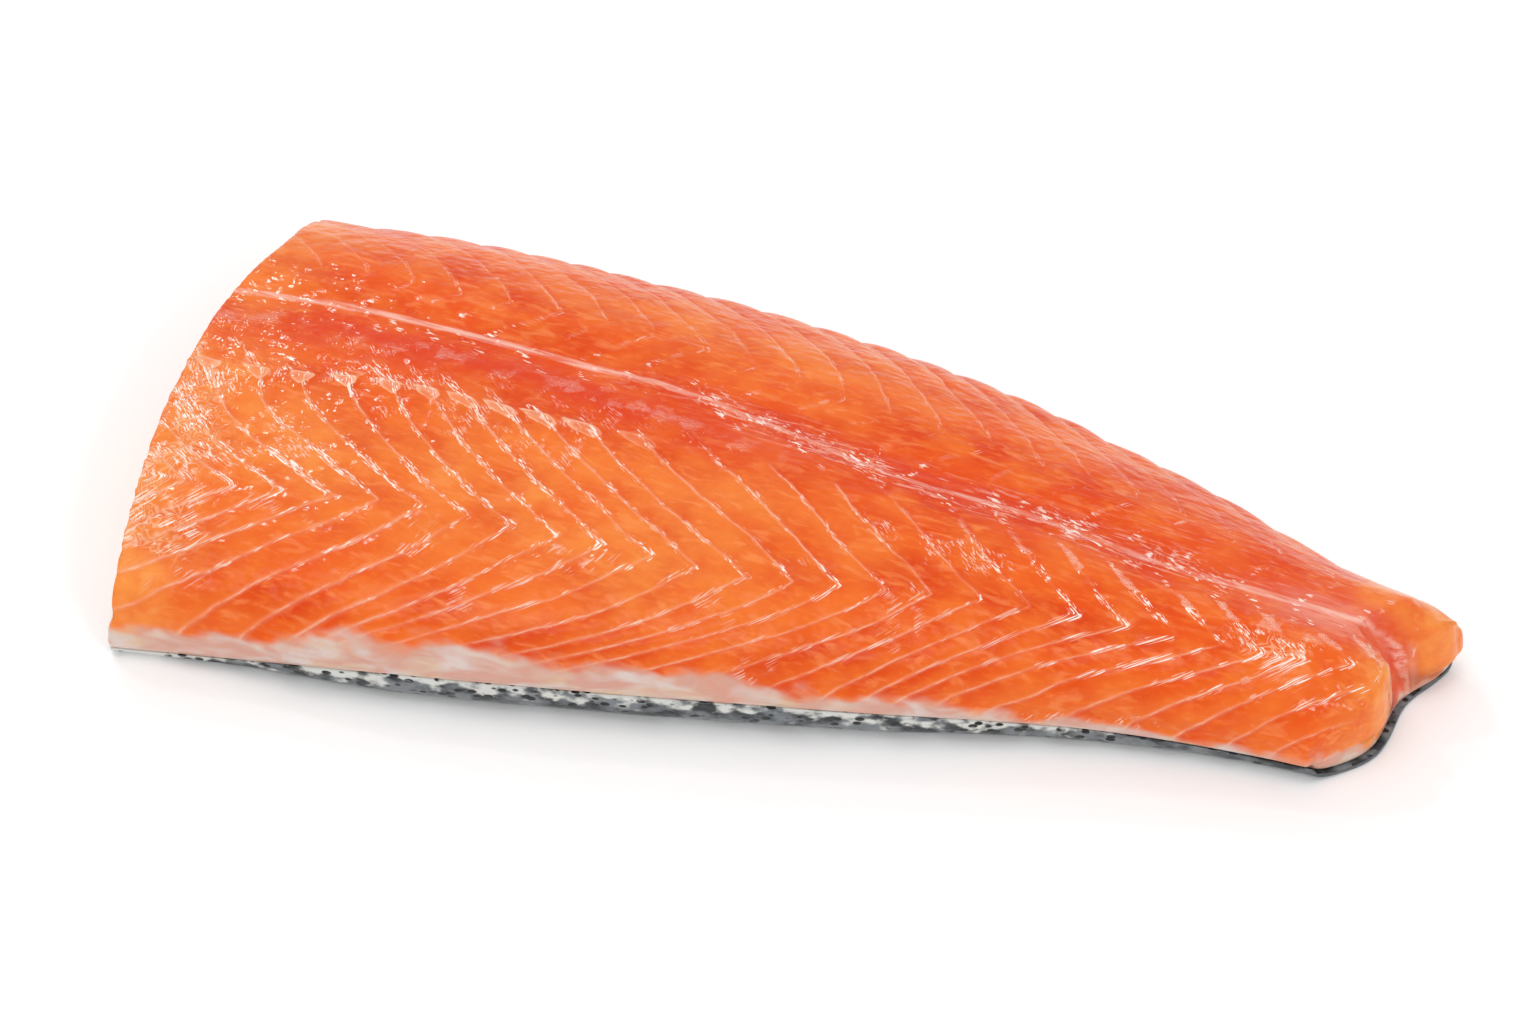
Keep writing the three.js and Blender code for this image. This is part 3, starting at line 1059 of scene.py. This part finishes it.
        # The seam: a cord in a furrow, with fibres beside it.
        lift += self.cord_mm * bell(at.from_seam, 1.2) * smoothstep(at.along, 150, 90)
        lift -= self.furrow_mm * bell(at.from_seam, 4.5)
        lift += self.strands_mm * layers.fibre * Unevenness(8).at(at.points, (26, 1.9, 6))
        # Soft fat with a groove over it.
        swollen = self.fat_swell_mm + self.fat_lumps_mm * Unevenness(9).at(at.points, (11, 7, 5))
        groove = self.fat_border_groove_mm * bell(layers.over_fat - 1.5, 1.6)
        lift += (smoothstep(layers.over_fat, 2, -2) * swollen - groove) * (at.from_seam < 0)
        # Flaps left by the ribs.
        signed = (layers.number - np.round(layers.number)) / layers.closeness
        flare = 0.2 + 2.4 * smoothstep(at.from_flap, -5, -0.6)
        flap = smoothstep(flare - np.abs(signed + 0.9), -0.5, 0.6) * smoothstep(at.from_flap, 1.3, 0.4)
        lift += self.flap_mm * flap * layers.flap_share * smoothstep(at.from_flap, -9, -3)
        # Two lobes at the tail cut and the cleft between them.
        lobes = bell(at.across + 9.5, 8) + bell(at.across - 12, 4.5) + 0.8 * bell(at.across - 17, 3)
        tail = self.lobe_mm * lobes - self.cleft_mm * bell(at.across - 5.5, 2.6)
        return lift + at.tail_face * tail * smoothstep(at.height, 1, 6)

    def red_band(self, at: Places) -> Array:
        """Where the flesh is redder: beside the seam, and on it towards the tail."""
        beside = bell(at.from_seam + 9, 8) * smoothstep(at.along, 170, 100) * smoothstep(at.along, -10, 25)
        return np.maximum(beside, 0.7 * bell(at.from_seam, 5) * smoothstep(at.along, 90, 130))

    def fibrous(self, at: Places) -> Array:
        """Where long fibres show: beside the seam, and on the back half by the tail.

        Args:
            at: Where the points lie.

        Returns:
            Numbers from 0 to 1.
        """
        by_seam = bell(at.from_seam, 4.2) * smoothstep(at.along, 92, 130) * smoothstep(at.along, 245, 205)
        by_tail = smoothstep(at.along, 165, 225) * smoothstep(at.along, 258, 246)
        by_tail = by_tail * smoothstep(at.from_seam, -4, 2) * smoothstep(at.outward, 1.0, 0.6)
        return np.maximum(by_seam, 0.3 * by_tail)

    def septum_strength(self, at: Places) -> Array:
        """How plainly the septa show.

        Args:
            at: Where the points lie.

        Returns:
            Numbers from 0, no line, to 1.
        """
        belly = smoothstep(at.from_flap, 1.0, -0.5) * smoothstep(at.outward, 0.08, 0.2)
        belly = belly * np.where(at.outward < 0.62, smoothstep(at.along, 205, 150) * 0.75 + 0.25, 1.0)
        inner = 7 + 8 * smoothstep(at.along, 60, 110)
        loin = smoothstep(at.from_seam - inner, 0, 8) * (0.42 + 0.45 * smoothstep(at.along, 45, 90))
        loin = loin * (1 - 0.65 * smoothstep(at.along, 170, 215))
        patchy = 0.78 + 0.5 * Unevenness(21).at(at.points, 14)
        strength = np.clip(np.where(at.from_seam < 0, belly, loin) * patchy, 0, 1)
        return strength * (1 - 0.9 * at.tail_face)

    def painted_glint_and_film_places(self, at: Places) -> Array:
        """Where painted glints lie: highlights of drops and torn film on the septa, partly the film itself.

        Args:
            at: Where the points lie.

        Returns:
            Numbers from 0, none, to 1.
        """
        upper = smoothstep(at.outward, 0.15, 0.22) * smoothstep(at.outward, 0.72, 0.6)
        upper = upper * (0.4 + 0.6 * smoothstep(at.along, 120, 70) + 0.6 * smoothstep(at.along, 175, 215))
        tips = curve(self.anatomy.point_knots, self.anatomy.point_across, at.along)
        tips = 0.9 * bell(at.across - tips - 1, 7) * smoothstep(at.along, 20, 45)
        tips = tips * (1 - 0.4 * smoothstep(at.along, 140, 180))
        lower = smoothstep(at.outward, 0.6, 0.7) * smoothstep(at.outward, 1.0, 0.88)
        lower = lower * (0.4 + 0.3 * smoothstep(at.along, 195, 225))
        belly = np.maximum.reduce([upper, tips, lower])
        loin = 0.25 * smoothstep(at.from_seam, 6, 12) * smoothstep(at.outward, 0.8, 0.5)
        around_seam = 0.6 * bell(at.from_seam, 8)
        return np.clip(np.where(at.from_seam < 0, belly, loin) + around_seam, 0, 1)

    def paleness_and_painted_light(self, at: Places) -> Array:
        """Where the flesh is paler and yellower: its own tone by the head-side cut, under the flaps and on
        the loin, painted light on the tail lobes and a broad painted sheen over the middle of the belly.

        Args:
            at: Where the points lie.

        Returns:
            Numbers from 0 to 1.
        """
        along, across, from_seam = at.along, at.across, at.from_seam
        near_cut = smoothstep(along - self.anatomy.head_cut(across), 30, 2)
        near_cut = near_cut * np.where(from_seam < 0, 1.0, 0.6) * (1 - 0.8 * bell(from_seam + 8, 8))
        # Painted light: the two tail lobes are made paler and yellower, as if lit.
        painted_light_far_lobe = 1.2 * smoothstep(along, 250, 260) * smoothstep(across - 6, 0, 5)
        painted_light_near_lobe = smoothstep(along, 255, 266) * smoothstep(across - 1, 0, -5)
        # Painted sheen: a broad pale patch over the middle of the belly.
        painted_sheen_belly = 0.62 * bell(across + 36, 16) * smoothstep(along, 170, 120)
        under_flaps = 0.4 * bell(across + 18, 9) * smoothstep(along, 50, 90) * smoothstep(along, 180, 140)
        loin = 0.3 * bell(from_seam - 24, 16) * smoothstep(along, 60, 110) * smoothstep(along, 175, 130)
        total = np.maximum.reduce([near_cut, painted_light_far_lobe, painted_light_near_lobe, painted_sheen_belly, under_flaps, loin])
        return np.clip(total * (0.8 + 0.5 * Unevenness(35).at(at.points, 9)), 0, 1)

    def crinkled(self, at: Places) -> Array:
        """Where loose wet membrane lies in wrinkles.

        Args:
            at: Where the points lie.

        Returns:
            Numbers from 0, smooth, to 1.
        """
        along, across, from_seam = at.along, at.across, at.from_seam
        near_cut = smoothstep(along - self.anatomy.head_cut(across), 34, 8)
        near_cut = near_cut * smoothstep(from_seam, -12, -20) * smoothstep(across, -84, -66)
        between_flaps = 0.8 * bell(at.from_flap - 2, 4) * smoothstep(along, 78, 50)
        tail_lobe = bell(along - 244, 10) * bell(from_seam + 13, 9)
        tail_corner = 1.2 * bell(along - 263, 4) * bell(from_seam + 7, 4)
        band = 0.55 * bell(from_seam + 9, 6) * smoothstep(along, 170, 110)
        seam_side = 0.72 * bell(from_seam, 4.5) * smoothstep(along, 70, 105) * smoothstep(along, 245, 225)
        torn = 0.5 * smoothstep(Unevenness(31).at(at.points, (12, 8, 8)), 0.3, 0.6) * (from_seam < -10)
        total = np.maximum.reduce([near_cut, between_flaps, tail_lobe, tail_corner, band, seam_side, torn])
        patchy = smoothstep(Unevenness(32).at(at.points, 6), -0.45, 0.1)
        return np.clip(total * (0.3 + 0.7 * patchy), 0, 1) * (1 - 0.9 * at.end_face)


@dataclass
class SkinPiece:
    """The skin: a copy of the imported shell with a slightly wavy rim."""

    anatomy: Anatomy
    finish: WetFishSkin
    wave_mm: float = 0.25
    tail_trim_mm: float = 0.5

    def build(self) -> Object:
        """Builds, shapes and dresses the piece.

        Returns:
            The finished object.
        """
        piece = refined_copy("skin", "salmon_skin", Margin.CRISP, levels=2)
        points, normals = read_points(piece)
        along, across = self.anatomy.along_across(points)
        seam = self.anatomy.seam(along)
        lift = self.wave_mm * Unevenness(41).at(points, (9, 6, 6))
        lift -= self.tail_trim_mm * smoothstep(along, 225, 245)
        outside = smoothstep(points[:, 2], 0.6, 2.5)
        write_points(piece, points + normals * (lift * outside)[:, None])
        rim = curve(self.anatomy.stations, self.anatomy.rim_height, along)
        rise = np.clip(points[:, 2] / rim, 0, 1)
        belly = smoothstep(across - seam, 5, -25) * (0.45 + 0.55 * smoothstep(along, 245, 205))
        silvery = belly * (0.2 + 0.42 * rise) + 0.9 * smoothstep(along, 42, 18)
        end = smoothstep(np.abs(normals[:, 0]), 0.5, 0.8)
        store_field(piece, "flank", silvery, end, smoothstep(rise, 0.0, 0.3))
        piece.data.materials.clear()
        piece.data.materials.append(self.finish.material())
        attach(piece, "root")
        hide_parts("skin")
        return piece


@dataclass(frozen=True)
class SoftLight:
    """A square lamp that faces the fillet: its place and width in metres, its power in watts."""

    name: str
    place: tuple[float, float, float]
    size: float
    power: float

    def hang(self) -> None:
        """Adds the lamp to the scene."""
        data = bpy.data.lights.new(self.name, "AREA")
        data.size = self.size
        data.energy = self.power
        lamp = bpy.data.objects.new(self.name, data)
        lamp.location = self.place
        lamp.rotation_euler = (-Vector(self.place)).to_track_quat("-Z", "Y").to_euler()
        bpy.context.scene.collection.objects.link(lamp)


@dataclass
class Studio:
    """A faintly glowing white table and white surroundings, lit from above and all sides."""

    table_colour: str = "FEFEFE"
    table_size: float = 12.0
    table_roughness: float = 0.6
    table_glow: float = 0.06
    room_brightness: float = 0.75
    lights: tuple[SoftLight, ...] = (
        SoftLight("overhead", (-0.4, -0.25, 2.4), 1.2, 9.0),
        SoftLight("back_left", (-1.35, 1.4, 1.4), 0.21, 4.4),
        SoftLight("left", (-1.56, 0.72, 1.66), 0.13, 3.0),
        SoftLight("near_right", (1.3, -0.9, 1.2), 0.3, 5.0),
    )
    # The camera stands in front, to the tail side, and looks down at the middle.
    azimuth_deg: float = 23.0
    elevation_deg: float = 42.0
    distance: float = 0.864
    target: tuple[float, float, float] = (-0.00606, 0.01233, 0.009)
    lens_mm: float = 98.0
    sensor_mm: float = 36.0

    def build(self) -> None:
        """Builds the table, the lights, the surroundings and the camera."""
        self.table()
        self.surroundings()
        for light in self.lights:
            light.hang()
        self.camera()

    def table(self) -> None:
        """Lays the table top under the fillet."""
        mesh = bmesh.new()
        bmesh.ops.create_grid(mesh, x_segments=1, y_segments=1, size=self.table_size / 2)
        data = bpy.data.meshes.new("table")
        mesh.to_mesh(data)
        mesh.free()
        table = bpy.data.objects.new("table", data)
        bpy.context.scene.collection.objects.link(table)
        material = bpy.data.materials.new("white_laminate")
        material.use_nodes = True
        shader = material.node_tree.nodes["Principled BSDF"]
        shader.inputs["Base Color"].default_value = linear(self.table_colour)
        shader.inputs["Roughness"].default_value = self.table_roughness
        shader.inputs["Emission Color"].default_value = WHITE
        shader.inputs["Emission Strength"].default_value = self.table_glow
        data.materials.append(material)

    def surroundings(self) -> None:
        """Lights the scene from all round with even white."""
        world = bpy.data.worlds.new("white_room")
        world.use_nodes = True
        backdrop = world.node_tree.nodes["Background"]
        backdrop.inputs["Color"].default_value = WHITE
        backdrop.inputs["Strength"].default_value = self.room_brightness
        bpy.context.scene.world = world

    def camera(self) -> None:
        """Sets the camera up."""
        azimuth, elevation = math.radians(self.azimuth_deg), math.radians(self.elevation_deg)
        level = math.cos(elevation)
        back = Vector((math.sin(azimuth) * level, -math.cos(azimuth) * level, math.sin(elevation)))
        data = bpy.data.cameras.new("camera")
        data.lens = self.lens_mm
        data.sensor_width = self.sensor_mm
        camera = bpy.data.objects.new("camera", data)
        camera.location = Vector(self.target) + self.distance * back
        camera.rotation_euler = (-back).to_track_quat("-Z", "Y").to_euler()
        bpy.context.scene.collection.objects.link(camera)
        bpy.context.scene.camera = camera


def main() -> None:
    """Builds the fillet and its studio."""
    logging.basicConfig(level=logging.INFO, format="%(name)s: %(message)s")
    bpy.context.scene.view_settings.view_transform = "Standard"
    anatomy = Anatomy()
    Studio().build()
    for piece in (
        FleshPiece(anatomy, RawSalmonMuscle()).build(),
        SkinPiece(anatomy, WetFishSkin()).build(),
    ):
        piece.data.calc_loop_triangles()
        LOG.info("%s: %d triangles", piece.name, len(piece.data.loop_triangles))


if __name__ == "__main__":
    main()
